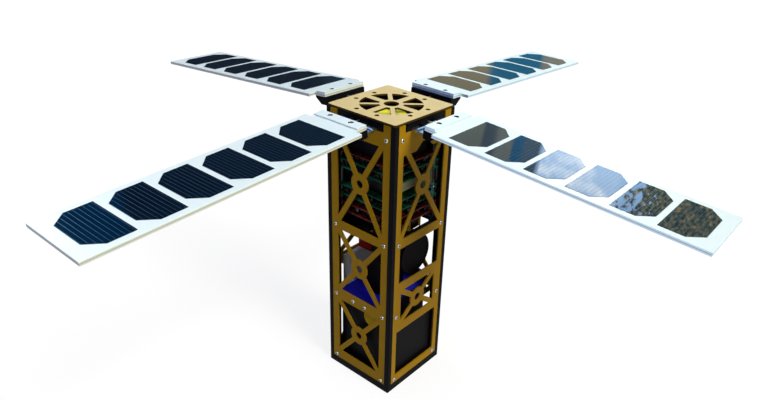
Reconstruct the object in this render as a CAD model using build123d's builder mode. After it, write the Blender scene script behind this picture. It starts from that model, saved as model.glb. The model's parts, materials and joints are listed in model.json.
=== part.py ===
"""Small cube satellite: an open 100 x 100 mm frame three units tall, a board stack and a camera
inside it, and four hinged solar panels that fold out like petals below the top plate.

Frame: origin at the centre of the base, +Z up, +X through the camera's window. Millimetres.
A side is named by the way it faces: front -Y, right +X, back +Y, left -X.
"""
from build123d import *
import os

os.makedirs("parts", exist_ok=True)

# ---- driving dimensions -------------------------------------------------------------------
BUS = 100.0  # outside of the corner rails
TOP_Z = 349.6  # upper face of the top plate
TOP_T = 2.2
RAIL = 8.5  # square section of a corner rail
FACE_R = 49.6  # outer face of the side plates, measured from the axis
SKIN = 1.6  # side plate thickness
FLANGE_T = 3.0  # rail flange behind the side plates
FLANGE_IN = 34.6  # inner edge of the rail flange, from the middle of the side
PLATE_HALF = 43.8  # half width of a side plate
PLATE_Z0 = 9.2
STRIP_Z1 = 346.6  # top of the side plate's two upright strips
WEB_Z1 = 338.4  # top of the web between the strips
FRAME_T = 9.0  # height of the bottom frame
STRUT_W = 6.5  # cross strut of a bay
HUB_R = 12.6
HUB_HOLE_R = 4.7

HINGE_R = 57.5  # hinge pin axis, out from the bus axis
HINGE_Z = 340.2
PIN_R = 1.5
PIN_FIT = 0.06  # radial running clearance round the pin
KNUCKLE_R = 2.6
LEAF_T = 1.5
LEAF_BRIDGE_X0 = 5.0  # the moving leaf's two halves are joined from here outwards
FIXED_LEAF_R1 = 54.4  # outer edge of the leaf on the bracket

PANEL_L = 278.4
PANEL_W = 80.0
PANEL_T = 3.8
PANEL_X0 = 30.0  # panel's root edge, out from the pin axis
PANEL_TOP = 10.9  # panel's upper face above the pin axis
TONGUE_HALF = 31.0  # narrow tongue between the root edge and the hinge
TONGUE_X0 = 14.0
DOUBLER_T = 1.9
DOUBLER_X1 = 27.0
PANEL_HOLE_R = 2.8
PANEL_HOLE_X = 19.3
PANEL_HOLE_Y = 14.8

CELL_T = 0.35
CELL_D = 36.9  # along the panel
CELL_W = 65.8
CELL_PITCH = 42.9
CELL_X0 = 15.6  # first cell, out from the root edge
CELL_CUT = 13.2  # cropped outer corners
CELLS = 6

RAIL_Z1 = TOP_Z - TOP_T
SKIN_R = FACE_R - SKIN
INNER_R = SKIN_R - FLANGE_T


def save(builder, name):
    """Label the finished piece and write it as its own STEP file."""
    builder.part.label = name
    export_step(builder.part, f"parts/{name}.step")


def side(angle):
    """Frame of one side: local +X points out of it, local +Y runs along it."""
    return Location((0, 0, 0), (0, 0, angle))


def on(place, plane):
    """The plane, carried from the bus frame into a side's or a pin's frame."""
    return Plane(place * plane.location)


# side name, direction it faces (degrees from +X), droop of its open panel (degrees)
SIDES = (
    ("right", 0.0, 3.9),
    ("back", 90.0, 2.0),
    ("left", 180.0, 4.3),
    ("front", -90.0, 4.0),
)

# ---- corner rails: square post with two flanges that the side plates are screwed to --------
for name, angle in (("rail_back_right", 0), ("rail_back_left", 90),
                    ("rail_front_left", 180), ("rail_front_right", 270)):
    turned = side(angle)
    with BuildPart() as rail:
        with BuildSketch(on(turned, Plane.XY)):
            with Locations((BUS / 2, BUS / 2)):
                Rectangle(RAIL, RAIL, align=(Align.MAX, Align.MAX))
        extrude(amount=RAIL_Z1)
        outer_edge = rail.edges().filter_by(Axis.Z).sort_by_distance((0, 0, RAIL_Z1 / 2))[-1]
        fillet(outer_edge, 1.0)
        with BuildSketch(on(turned, Plane.XY.offset(PLATE_Z0))):
            with Locations((SKIN_R, FLANGE_IN)):
                Rectangle(FLANGE_T, SKIN_R - FLANGE_IN, align=(Align.MAX, Align.MIN))
            with Locations((FLANGE_IN, SKIN_R)):
                Rectangle(SKIN_R - FLANGE_IN, FLANGE_T, align=(Align.MIN, Align.MAX))
        extrude(amount=WEB_Z1 - PLATE_Z0)
        with BuildSketch(on(turned, Plane.XY.offset(PLATE_Z0))):
            with Locations((BUS / 2, PLATE_HALF + 0.1)):
                Rectangle(BUS / 2 - SKIN_R, BUS, align=(Align.MAX, Align.MAX))
            with Locations((PLATE_HALF + 0.1, BUS / 2)):
                Rectangle(BUS, BUS / 2 - SKIN_R, align=(Align.MAX, Align.MAX))
        extrude(amount=RAIL_Z1 - PLATE_Z0, mode=Mode.SUBTRACT)
    save(rail, name)

# ---- bottom and top frames: square rings let in between the rails --------------------------
RING_IN = 36.4

with BuildPart() as bottom_frame:
    with BuildSketch():
        Rectangle(BUS, BUS)
        with GridLocations(BUS - RAIL, BUS - RAIL, 2, 2):
            Rectangle(RAIL, RAIL, mode=Mode.SUBTRACT)
        Rectangle(2 * RING_IN, 2 * RING_IN, mode=Mode.SUBTRACT)
    extrude(amount=FRAME_T)
save(bottom_frame, "bottom_frame")

with BuildPart() as top_frame:
    with BuildSketch(Plane.XY.offset(WEB_Z1)):
        Rectangle(2 * SKIN_R, 2 * SKIN_R)
        with GridLocations(BUS - RAIL, BUS - RAIL, 2, 2):
            Rectangle(RAIL, RAIL, mode=Mode.SUBTRACT)
        Rectangle(2 * RING_IN, 2 * RING_IN, mode=Mode.SUBTRACT)
    extrude(amount=RAIL_Z1 - WEB_Z1)
save(top_frame, "top_frame")

# ---- end plates: a spoked wheel is cut in the middle ----------------------------------------
WHEEL_R = 35.5
WHEEL_HUB_R = 13.6
WHEEL_BORE_R = 8.5
SPOKE_W = 8.5
DIAGONAL_W = 5.0
END_HOLE_R = 2.7
END_HOLE_NEAR = 14.7
END_HOLE_FAR = 39.3


def wheel_cut():
    """Cut the wheel's slots in the current sketch and leave eight spokes and a bored hub."""
    Circle(WHEEL_R, mode=Mode.SUBTRACT)
    for turn, width in ((0, SPOKE_W), (90, SPOKE_W), (45, DIAGONAL_W), (135, DIAGONAL_W)):
        Rectangle(2 * WHEEL_R + 1, width, rotation=turn)
    Circle(WHEEL_HUB_R)
    Circle(WHEEL_BORE_R, mode=Mode.SUBTRACT)


with BuildPart() as top_plate:
    with BuildSketch(Plane.XY.offset(RAIL_Z1)):
        RectangleRounded(98.0, 98.0, 3.0)
        wheel_cut()
        with GridLocations(2 * END_HOLE_NEAR, 2 * END_HOLE_FAR, 2, 2):
            Circle(END_HOLE_R, mode=Mode.SUBTRACT)
        with GridLocations(2 * END_HOLE_FAR, 2 * END_HOLE_NEAR, 2, 2):
            Circle(END_HOLE_R, mode=Mode.SUBTRACT)
    extrude(amount=TOP_T)
save(top_plate, "top_plate")

BASE_PLATE_HALF = 44.5
with BuildPart() as bottom_plate:
    with BuildSketch(Plane.XY.offset(FRAME_T)):
        Rectangle(2 * BASE_PLATE_HALF, 2 * BASE_PLATE_HALF)
        with GridLocations(2 * BASE_PLATE_HALF, 2 * BASE_PLATE_HALF, 2, 2):
            Rectangle(7.0, 7.0, mode=Mode.SUBTRACT)
        wheel_cut()
    extrude(amount=2.0)
save(bottom_plate, "bottom_plate")

# ---- side plates ----------------------------------------------------------------------------
# One row per bay: bottom, top, half width, centre of its crossed struts (None leaves it open)
# and the top of the diagonal that the struts follow.
PLAIN_BAYS = (
    (22.0, 101.6, 34.0, 61.8, 101.6),
    (116.5, 200.5, 34.0, 158.5, 200.5),
    (211.5, 321.4, 34.0, 268.6, 325.7),
)
WINDOW_BAYS = (
    (19.8, 84.5, 36.5, None, None),
    (96.0, 141.8, 30.7, 118.9, 141.8),
    (153.2, 200.0, 35.3, None, None),
    (211.4, 312.5, 35.3, 268.6, 325.7),
)
LEFT_BAYS = (
    (19.8, 84.5, 34.0, 52.2, 84.5),
    (96.0, 141.8, 30.7, 118.9, 141.8),
    (153.2, 200.0, 35.3, 176.6, 200.0),
    (211.4, 312.5, 35.3, 268.6, 325.7),
)
NOTCH = ((-16.0, 311.0), (16.0, 311.0), (4.0, 321.4), (-4.0, 321.4))  # dip under the hinge


def side_plate(name, angle, bays, notched):
    """Thin milled plate with its bays cut out and crossed struts left in them."""
    with BuildPart() as plate:
        with BuildSketch(on(side(angle), Plane.YZ.offset(SKIN_R))):
            with Locations((0, PLATE_Z0)):
                Rectangle(2 * PLATE_HALF, STRIP_Z1 - PLATE_Z0, align=(Align.CENTER, Align.MIN))
            with Locations((0, WEB_Z1)):
                Rectangle(67.4, STRIP_Z1 - WEB_Z1 + 1, align=(Align.CENTER, Align.MIN),
                          mode=Mode.SUBTRACT)
            for low, high, half, hub, cross_top in bays:
                with Locations((0, low)):
                    Rectangle(2 * half, high - low, align=(Align.CENTER, Align.MIN),
                              mode=Mode.SUBTRACT)
            if notched:
                Polygon(*NOTCH, align=None, mode=Mode.SUBTRACT)
            for low, high, half, hub, cross_top in bays:
                if hub is not None:
                    rise = cross_top - hub
                    reach = Vector(half, rise)
                    tilt = reach.get_angle(Vector(1, 0))
                    with Locations((0, hub)):
                        Rectangle(2 * reach.length, STRUT_W, rotation=tilt)
                        Rectangle(2 * reach.length, STRUT_W, rotation=-tilt)
                        Circle(HUB_R)
                        Circle(HUB_HOLE_R, mode=Mode.SUBTRACT)
        extrude(amount=SKIN)
    save(plate, name)


side_plate("side_plate_front", -90, PLAIN_BAYS, False)
side_plate("side_plate_back", 90, PLAIN_BAYS, False)
side_plate("side_plate_right", 0, WINDOW_BAYS, True)
side_plate("side_plate_left", 180, LEFT_BAYS, True)

# Dark plates close two bays from inside: the right side's lowest and the left side's highest.
COVER_HALF = 39.0
COVER_T = 1.4
with BuildPart() as cover_plates:
    for angle, low, high in ((0, 13.0, 91.0), (180, 210.0, 336.0)):
        with BuildSketch(on(side(angle), Plane.YZ.offset(INNER_R))):
            with Locations((0, low)):
                Rectangle(2 * COVER_HALF, high - low, align=(Align.CENTER, Align.MIN))
        extrude(amount=-COVER_T)
save(cover_plates, "cover_plates")

# ---- inner structure -------------------------------------------------------------------------
MID_Z0 = 202.4
MID_Z1 = 207.0
MID_OPENING = 76.0
MID_PAD_FROM = 34.0  # inner edge of the pads that carry the rods
INNER_FIT = 0.1  # gap between the inner pieces and the rails
with BuildPart() as mid_frame:
    with BuildSketch(Plane.XY.offset(MID_Z0)):
        Rectangle(2 * (INNER_R - INNER_FIT), 2 * (INNER_R - INNER_FIT))
        with GridLocations(BUS - RAIL, BUS - RAIL, 2, 2):
            Rectangle(RAIL + 2 * INNER_FIT, RAIL + 2 * INNER_FIT, mode=Mode.SUBTRACT)
        Rectangle(MID_OPENING, 2 * MID_PAD_FROM, mode=Mode.SUBTRACT)
        Rectangle(2 * MID_PAD_FROM, MID_OPENING, mode=Mode.SUBTRACT)
    extrude(amount=MID_Z1 - MID_Z0)
save(mid_frame, "mid_frame")

SHELF_Z0 = 104.0
SHELF_Z1 = 112.0
SHELF_HALF = 43.5
SHELF_X1 = 29.5  # its front edge, back from the side with the window
LIP_Z0 = 93.0  # bottom of the lip folded down along the front edge
LIP_T = 2.4
CURB_Z1 = 124.5  # top of the curb along its back edge
CURB_T = 2.5
CURB_X0 = -38.0
with BuildPart() as shelf:
    with BuildSketch(Plane.XY.offset(SHELF_Z0)):
        with Locations(((SHELF_X1 - SHELF_HALF) / 2, 0)):
            Rectangle(SHELF_X1 + SHELF_HALF, 2 * SHELF_HALF)
        with GridLocations(BUS - RAIL, BUS - RAIL, 2, 2):
            Rectangle(RAIL + 2 * INNER_FIT, RAIL + 2 * INNER_FIT, mode=Mode.SUBTRACT)
    extrude(amount=SHELF_Z1 - SHELF_Z0)
    with BuildSketch(Plane.XY.offset(SHELF_Z0)):
        with Locations((SHELF_X1 - LIP_T / 2, 0)):
            Rectangle(LIP_T, 2 * SHELF_HALF)
    extrude(amount=LIP_Z0 - SHELF_Z0)
    with BuildSketch(Plane.XY.offset(SHELF_Z1)):
        with Locations((CURB_X0, SHELF_HALF - CURB_T)):
            Rectangle(SHELF_X1 - CURB_X0, CURB_T, align=(Align.MIN, Align.MIN))
    extrude(amount=CURB_Z1 - SHELF_Z1)
save(shelf, "payload_shelf")

# ---- board stack on four rods ----------------------------------------------------------------
ROD_AT = 38.5
ROD_R = 2.0
BOARD_HALF = 43.5
BOARD_T = 1.6
BOARD_NOTCH = 5.0
ROD_FIT = 0.05

with BuildPart() as stack_rods:
    with BuildSketch(Plane.XY.offset(MID_Z1)):
        with GridLocations(2 * ROD_AT, 2 * ROD_AT, 2, 2):
            Circle(ROD_R)
    extrude(amount=WEB_Z1 - MID_Z1)
save(stack_rods, "stack_rods")

# board, height of its underside
BOARDS = (
    ("board_1", 223.0),
    ("board_2", 233.5),
    ("board_3", 243.5),
    ("board_4", 255.0),
    ("board_5", 277.0),
    ("board_6", 286.5),
    ("board_7", 296.5),
)
for name, height in BOARDS:
    with BuildPart() as board:
        with BuildSketch(Plane.XY.offset(height)):
            Rectangle(2 * BOARD_HALF, 2 * BOARD_HALF)
            with GridLocations(2 * BOARD_HALF, 2 * BOARD_HALF, 2, 2):
                Rectangle(BOARD_NOTCH, BOARD_NOTCH, mode=Mode.SUBTRACT)
            with GridLocations(2 * ROD_AT, 2 * ROD_AT, 2, 2):
                Circle(ROD_R + ROD_FIT, mode=Mode.SUBTRACT)
        extrude(amount=BOARD_T)
    save(board, name)


# Components between the boards, as plain blocks that keep clear of the rods. Each row is the
# board that a block stands on and the height of the block.
PARTS_CORE = 34.0
PARTS_HALF = 39.5
COMPONENTS = (("board_1", 8.4), ("board_2", 7.9), ("board_3", 9.4), ("board_5", 7.4),
              ("board_6", 7.9))
PACK_X = (-39.0, 22.0)
PACK_HEIGHT = 20.0
UNDERSIDES = dict(BOARDS)

with BuildPart() as board_parts:
    for name, height in COMPONENTS:
        with BuildSketch(Plane.XY.offset(UNDERSIDES[name] + BOARD_T)):
            Rectangle(2 * PARTS_HALF, 2 * PARTS_CORE)
            Rectangle(2 * PARTS_CORE, 2 * PARTS_HALF)
        extrude(amount=height)
    with BuildSketch(Plane.XY.offset(UNDERSIDES["board_4"] + BOARD_T)):
        with Locations((PACK_X[0], 0)):
            Rectangle(PACK_X[1] - PACK_X[0], 2 * PARTS_CORE, align=(Align.MIN, Align.CENTER))
    extrude(amount=PACK_HEIGHT)
save(board_parts, "board_parts")

STANDOFF_R = 2.2
STANDOFFS = ((36.0, -4.8), (36.0, 13.2), (-36.0, -4.8), (-36.0, 13.2))
with BuildPart() as standoffs:
    with BuildSketch(Plane.XY.offset(MID_Z1)):
        with Locations(*STANDOFFS):
            RegularPolygon(STANDOFF_R, 6)
    extrude(amount=BOARDS[0][1] - MID_Z1)
save(standoffs, "stack_standoffs")

# ---- modules: plain closed boxes --------------------------------------------------------------
BOARD_5_Z0 = BOARDS[4][1]
BOARD_7_Z1 = BOARDS[6][1] + BOARD_T
BASE_Z1 = FRAME_T + 2.0  # upper face of the bottom plate
RADIATOR_Z1 = 153.5
CAMERA_X1 = 8.0
TOP_MODULE_Z1 = 333.0

# name, limits along x, limits along y, limits along z
MODULES = (
    ("header_block", (24.0, 42.5), (-36.2, 22.0), (265.5, BOARD_5_Z0)),
    ("battery_box", (-37.5, 0.0), (-33.5, -8.0), (MID_Z0 + INNER_FIT, BOARDS[0][1])),
    ("top_module", (-36.5, 36.5), (-36.5, 36.5), (BOARD_7_Z1, TOP_MODULE_Z1)),
    ("camera_body", (-4.0, CAMERA_X1), (-22.7, 22.7), (SHELF_Z1, MID_Z0)),
    ("camera_foot", (-12.5, -4.0), (-22.7, 22.7), (SHELF_Z1, 150.0)),
    ("radiator_plate", (-43.0, -37.0), (-32.4, 17.0), (SHELF_Z1, RADIATOR_Z1)),
    ("red_module", (-43.5, -23.0), (-5.0, 9.0), (RADIATOR_Z1, 171.0)),
    ("base_module", (-35.0, 27.0), (-42.0, 42.0), (BASE_Z1, SHELF_Z0)),
)
for name, x, y, z in MODULES:
    with BuildPart() as module:
        with BuildSketch(Plane.XY.offset(z[0])):
            with Locations(((x[0] + x[1]) / 2, (y[0] + y[1]) / 2)):
                Rectangle(x[1] - x[0], y[1] - y[0])
        extrude(amount=z[1] - z[0])
    save(module, name)

TOP_DISC_R = 17.3
TOP_DISC_T = 5.0
with BuildPart() as top_disc:
    with BuildSketch(Plane.XY.offset(TOP_MODULE_Z1)):
        Circle(TOP_DISC_R)
    extrude(amount=TOP_DISC_T)
save(top_disc, "top_disc")

LENS_Z = 176.6
LENS_R = 25.5
LENS_X1 = 44.0
with BuildPart() as lens_barrel:
    with BuildSketch(Plane.YZ.offset(CAMERA_X1)):
        with Locations((0, LENS_Z)):
            Circle(LENS_R)
    extrude(amount=LENS_X1 - CAMERA_X1)
    chamfer(lens_barrel.edges().group_by(Axis.X)[-1], 0.8)
save(lens_barrel, "lens_barrel")

BOSS_R = 11.0  # yellow boss behind the front side plate, above the lowest bay
BOSS_AT = (18.5, 96.5)
BOSS_R0 = 44.0
with BuildPart() as yellow_boss:
    with BuildSketch(Plane.XZ.offset(BOSS_R0)):
        with Locations(BOSS_AT):
            Circle(BOSS_R)
    extrude(amount=SKIN_R - BOSS_R0)
save(yellow_boss, "yellow_boss")

# ---- hinges -------------------------------------------------------------------------------------
BRACKET_HALF = 31.6
BRACKET_R0 = SKIN_R
BRACKET_R1 = 49.9
LUG_Y = 10.6  # middle of a lug
LUG_W = 4.0
KNUCKLE_IN = 13.0
KNUCKLE_OUT = 25.5
COIL_HALF = 8.2
COIL_R = 3.7
SPRING_WIRE = 1.4
LEG_Z = 3.0  # height above the pin of the spring's two straight legs, one each way
LEG_X0 = 3.9  # where the outward leg starts, just clear of the coil
ARM_X0 = 11.8  # arm's inner face, out from the pin
ARM_X1 = 30.0
ARM_Z0 = -2.5
ARM_HALF = 30.0
ARM_HEEL_X = 8.5  # the outer lower corner is cut back by this much
ARM_HEEL_Z = 4.5
ARM_ROUND = 1.5
LEAF_GAP = 0.4  # fixed leaf to lug
COIL_FIT = 0.3  # coil to pin

for name, angle, droop in SIDES:
    place = side(angle)
    with BuildPart() as bracket:
        with BuildSketch(on(place, Plane.XZ)):
            with Locations((BRACKET_R0, WEB_Z1 + 0.1)):
                Rectangle(BRACKET_R1 - BRACKET_R0, RAIL_Z1 - WEB_Z1 - 0.1,
                          align=(Align.MIN, Align.MIN))
        extrude(amount=BRACKET_HALF, both=True)
        for spot in (-LUG_Y, LUG_Y):
            with BuildSketch(on(place, Plane.XZ.offset(spot))):
                with Locations((HINGE_R, HINGE_Z)):
                    Circle(KNUCKLE_R + 0.6)
                with Locations((BRACKET_R0 + 1, WEB_Z1 + 0.1)):
                    Rectangle(HINGE_R - BRACKET_R0 - 1, HINGE_Z + 3.2 - WEB_Z1 - 0.1,
                              align=(Align.MIN, Align.MIN))
            extrude(amount=LUG_W / 2, both=True)
        with BuildSketch(on(place, Plane.XZ)):
            with Locations((HINGE_R, HINGE_Z)):
                Circle(PIN_R)
        extrude(amount=KNUCKLE_IN, both=True, mode=Mode.SUBTRACT)
    save(bracket, f"hinge_bracket_{name}")

with BuildPart() as pins:
    for name, angle, droop in SIDES:
        with BuildSketch(on(side(angle), Plane.XZ)):
            with Locations((HINGE_R, HINGE_Z)):
                Circle(PIN_R)
        extrude(amount=KNUCKLE_OUT + 0.8, both=True)
        with BuildSketch(on(side(angle), Plane.XY.offset(HINGE_Z - LEAF_T / 2))):
            for edge in (-1, 1):
                with Locations((BRACKET_R1, edge * (LUG_Y + LUG_W / 2 + KNUCKLE_OUT) / 2)):
                    Rectangle(FIXED_LEAF_R1 - BRACKET_R1, KNUCKLE_OUT - LUG_Y - LUG_W / 2 - LEAF_GAP,
                              align=(Align.MIN, Align.CENTER))
        extrude(amount=LEAF_T)
save(pins, "hinge_pins")

with BuildPart() as springs:
    for name, angle, droop in SIDES:
        with BuildSketch(on(side(angle), Plane.XZ)):
            with Locations((HINGE_R, HINGE_Z)):
                Circle(COIL_R)
                Circle(PIN_R + COIL_FIT, mode=Mode.SUBTRACT)
        extrude(amount=COIL_HALF, both=True)
        with BuildSketch(on(side(angle), Plane.XZ)):
            with Locations((BRACKET_R1, HINGE_Z + LEG_Z - SPRING_WIRE / 2)):
                Rectangle(HINGE_R - BRACKET_R1, SPRING_WIRE, align=(Align.MIN, Align.MIN))
            with Locations((HINGE_R, HINGE_Z)):
                Circle(PIN_R + COIL_FIT, mode=Mode.SUBTRACT)
        extrude(amount=SPRING_WIRE / 2, both=True)
save(springs, "hinge_springs")

# ---- panels: everything beyond the pin, drawn in the pin's own frame and drooped about it ------
for name, angle, droop in SIDES:
    pin = side(angle) * Location((HINGE_R, 0, HINGE_Z)) * Location((0, 0, 0), (0, droop, 0))

    with BuildPart() as substrate:
        with BuildSketch(on(pin, Plane.XY.offset(PANEL_TOP - PANEL_T))):
            with Locations((PANEL_X0, 0)):
                Rectangle(PANEL_L, PANEL_W, align=(Align.MIN, Align.CENTER))
            with Locations((TONGUE_X0, 0)):
                Rectangle(PANEL_X0 - TONGUE_X0 + 1, 2 * TONGUE_HALF,
                          align=(Align.MIN, Align.CENTER))
        extrude(amount=PANEL_T)
        with BuildSketch(on(pin, Plane.XY.offset(PANEL_TOP))):
            with Locations((TONGUE_X0, 0)):
                Rectangle(DOUBLER_X1 - TONGUE_X0, 2 * TONGUE_HALF,
                          align=(Align.MIN, Align.CENTER))
        extrude(amount=DOUBLER_T)
        with BuildSketch(on(pin, Plane.XY.offset(PANEL_TOP + DOUBLER_T))):
            with Locations((PANEL_HOLE_X, PANEL_HOLE_Y), (PANEL_HOLE_X, -PANEL_HOLE_Y)):
                Circle(PANEL_HOLE_R)
        extrude(amount=-(DOUBLER_T + PANEL_T), mode=Mode.SUBTRACT)
    save(substrate, f"panel_{name}")

    with BuildPart() as cells:
        with BuildSketch(on(pin, Plane.XY.offset(PANEL_TOP))):
            for row in range(CELLS):
                x0 = PANEL_X0 + CELL_X0 + row * CELL_PITCH
                x1 = x0 + CELL_D
                half = CELL_W / 2
                Polygon((x0, -half), (x1 - CELL_CUT, -half), (x1, -half + CELL_CUT),
                        (x1, half - CELL_CUT), (x1 - CELL_CUT, half), (x0, half), align=None)
        extrude(amount=CELL_T)
    save(cells, f"solar_cells_{name}")

    with BuildPart() as arm:
        with BuildSketch(on(pin, Plane.XZ)) as profile:
            Polygon((ARM_X0, ARM_Z0), (ARM_X1 - ARM_HEEL_X, ARM_Z0), (ARM_X1, ARM_HEEL_Z),
                    (ARM_X1, PANEL_TOP - PANEL_T), (ARM_X0, PANEL_TOP - PANEL_T), align=None)
            fillet(profile.vertices().sort_by_distance((ARM_X0, ARM_Z0))[0], ARM_ROUND)
        extrude(amount=ARM_HALF, both=True)
    save(arm, f"hinge_arm_{name}")

    with BuildPart() as leaf:
        with BuildSketch(on(pin, Plane.XY.offset(-LEAF_T / 2))):
            for edge in (-1, 1):
                with Locations((0, edge * (KNUCKLE_IN + KNUCKLE_OUT) / 2)):
                    Rectangle(ARM_X0, KNUCKLE_OUT - KNUCKLE_IN, align=(Align.MIN, Align.CENTER))
            with Locations((LEAF_BRIDGE_X0, 0)):
                Rectangle(ARM_X0 - LEAF_BRIDGE_X0, 2 * KNUCKLE_OUT,
                          align=(Align.MIN, Align.CENTER))
        extrude(amount=LEAF_T)
        for edge in (-1, 1):
            with BuildSketch(on(pin, Plane.XZ.offset(edge * (KNUCKLE_IN + KNUCKLE_OUT) / 2))):
                Circle(KNUCKLE_R)
            extrude(amount=(KNUCKLE_OUT - KNUCKLE_IN) / 2, both=True)
        with BuildSketch(on(pin, Plane.XZ)):
            Circle(PIN_R + PIN_FIT)
        extrude(amount=KNUCKLE_OUT + 1, both=True, mode=Mode.SUBTRACT)
        with BuildSketch(on(pin, Plane.XZ)):
            with Locations((LEG_X0, LEG_Z - SPRING_WIRE / 2)):
                Rectangle(ARM_X0 - LEG_X0, SPRING_WIRE, align=(Align.MIN, Align.MIN))
        extrude(amount=SPRING_WIRE / 2, both=True)
    save(leaf, f"hinge_leaf_{name}")
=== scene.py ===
"""Looks of the small cube satellite: finishes, fasteners, hinges, boards, solar cells and stage."""
import json
import math
import random

import bmesh
import bpy
from mathutils import Matrix, Vector


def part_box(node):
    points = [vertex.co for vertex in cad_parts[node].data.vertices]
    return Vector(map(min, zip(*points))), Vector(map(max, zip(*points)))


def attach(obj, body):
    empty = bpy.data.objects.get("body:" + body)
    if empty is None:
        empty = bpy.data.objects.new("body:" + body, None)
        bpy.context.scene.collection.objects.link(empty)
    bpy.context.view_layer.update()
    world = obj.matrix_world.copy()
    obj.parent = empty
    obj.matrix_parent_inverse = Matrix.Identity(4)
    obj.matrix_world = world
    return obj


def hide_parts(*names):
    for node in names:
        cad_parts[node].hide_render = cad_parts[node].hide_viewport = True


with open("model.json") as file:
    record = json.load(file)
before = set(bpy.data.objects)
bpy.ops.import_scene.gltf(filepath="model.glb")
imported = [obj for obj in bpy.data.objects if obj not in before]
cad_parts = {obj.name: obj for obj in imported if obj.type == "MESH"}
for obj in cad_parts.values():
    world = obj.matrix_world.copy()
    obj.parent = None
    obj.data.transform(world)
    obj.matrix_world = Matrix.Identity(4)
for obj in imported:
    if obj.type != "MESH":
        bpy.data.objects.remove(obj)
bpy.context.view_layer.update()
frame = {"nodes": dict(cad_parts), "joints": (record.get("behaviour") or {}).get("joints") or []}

bl_info = {
    "name": "Cube Satellite Finish",
    "version": (1, 0, 0),
    "blender": (4, 5, 0),
    "location": "View3D > Sidebar > Satellite",
    "description": "Dresses the satellite's frame, hinges, boards and solar panels",
    "category": "Object",
}

MM = 0.001
SAME_POINT = 0.001  # millimetres, below which two points are one
SQUARE = 0.1  # radians, within which a corner is square
LEVEL = 0.5  # upward part of a face's normal, above which the face counts as level
COIL_STEPS = 14  # to a turn of a spring
WIRE_SEGMENTS = 8
HOLE_SEGMENTS = 24


# ---- colours -------------------------------------------------------------------------------------

def linear(hex_colour):
    """Scene-linear (r, g, b) of an sRGB hex colour."""
    levels = [int(hex_colour[i:i + 2], 16) / 255 for i in (1, 3, 5)]
    return tuple(c / 12.92 if c <= 0.04045 else ((c + 0.055) / 1.055) ** 2.4 for c in levels)


def opaque(colour):
    """The colour with full alpha, as a colour socket takes it."""
    return (*colour[:3], 1.0)


# ---- places, worked out from the frame (millimetres) ---------------------------------------------
SIDES = {"right": 0, "back": 90, "left": 180, "front": -90}  # way each side faces, degrees from +X


def turn(x=0.0, y=0.0, z=0.0, spin=0.0, axis="Z"):
    """Matrix that turns a shape about one axis and then moves it, in millimetres and degrees."""
    return Matrix.Translation((x, y, z)) @ Matrix.Rotation(math.radians(spin), 4, axis)


def low(node):
    """Lowest corner of a node's box, in millimetres."""
    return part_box(node)[0] / MM


def high(node):
    """Highest corner of a node's box, in millimetres."""
    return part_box(node)[1] / MM


FACE_R = high("side_plate_right").x


def side_place(side):
    """Matrix of a side's own frame: x out of it, y along it, z up."""
    return turn(spin=SIDES[side])


def hinge_of(side):
    """The joint that carries a side's wing."""
    return next(j for j in frame["joints"] if j["child"] == f"wing_{side}")


def pin_place(side):
    """Matrix of a hinge pin's frame: origin on the pin, x out of the side, y along the pin."""
    return Matrix.Translation(Vector(hinge_of(side)["pos_m"]) / MM) @ side_place(side)


def wing_place(side):
    """Matrix of an open wing's own frame: the pin's frame, drooped with the panel."""
    droop = math.radians(90 - hinge_of(side)["range_deg"][1])
    return pin_place(side) @ Matrix.Rotation(droop, 4, "Y")


# ---- meshes --------------------------------------------------------------------------------------

def joined_to(vert):
    """Every vertex of the shape that a vertex belongs to."""
    found = {vert}
    newest = found
    while newest:
        newest = {e.other_vert(v) for v in newest for e in v.link_edges} - found
        found = found | newest
    return list(found)


def colour_faces(verts, material):
    """Give every face round some vertices one of the piece's materials, by its number."""
    for face in {f for v in verts for f in v.link_faces}:
        face.material_index = material


def bevelled(bm, verts, edges, width, segments):
    """Bevel some edges of a shape, and return the vertices that the shape then has."""
    made = bmesh.ops.bevel(bm, geom=edges, offset=width, segments=segments, profile=0.5,
                           affect="EDGES", material=-1)
    return list({v for f in made["faces"] for v in f.verts} | {v for v in verts if v.is_valid})


def add_block(bm, low_corner, high_corner, bevel=0.0, material=0, place=Matrix()):
    """A box between two corners, its edges rounded."""
    low_corner, high_corner = Vector(low_corner), Vector(high_corner)
    centre = Matrix.Translation((low_corner + high_corner) / 2)
    size = Matrix.Diagonal((*(high_corner - low_corner), 1.0))
    verts = bmesh.ops.create_cube(bm, size=1.0, matrix=place @ centre @ size)["verts"]
    if bevel:
        edges = list({e for v in verts for e in v.link_edges})
        verts = bevelled(bm, verts, edges, bevel, segments=2)
    colour_faces(verts, material)


def add_lathe(bm, profile, steps=20, material=0, place=Matrix()):
    """A turned shape about z: profile is a few (radius, height) points that close the shape."""
    verts = [bm.verts.new((radius, 0.0, height)) for radius, height in profile]
    edges = [bm.edges.new(pair) for pair in zip(verts, verts[1:])]
    bmesh.ops.spin(bm, geom=verts + edges, cent=(0, 0, 0), axis=(0, 0, 1), dvec=(0, 0, 0),
                   angle=math.tau, steps=steps, use_merge=True, use_duplicate=False)
    verts = joined_to(verts[0])
    bmesh.ops.remove_doubles(bm, verts=verts, dist=SAME_POINT)
    verts = [v for v in verts if v.is_valid]
    colour_faces(verts, material)
    bmesh.ops.transform(bm, matrix=place, verts=verts)


def add_rod(bm, radius, length, material=0, place=Matrix()):
    """A round rod or wire from the origin up its own z, its ends' rims broken."""
    rim = 0.2 * radius
    add_lathe(bm, ((0, 0), (radius - rim, 0), (radius, rim), (radius, length - rim),
                   (radius - rim, length), (0, length)), steps=12, material=material, place=place)


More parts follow.
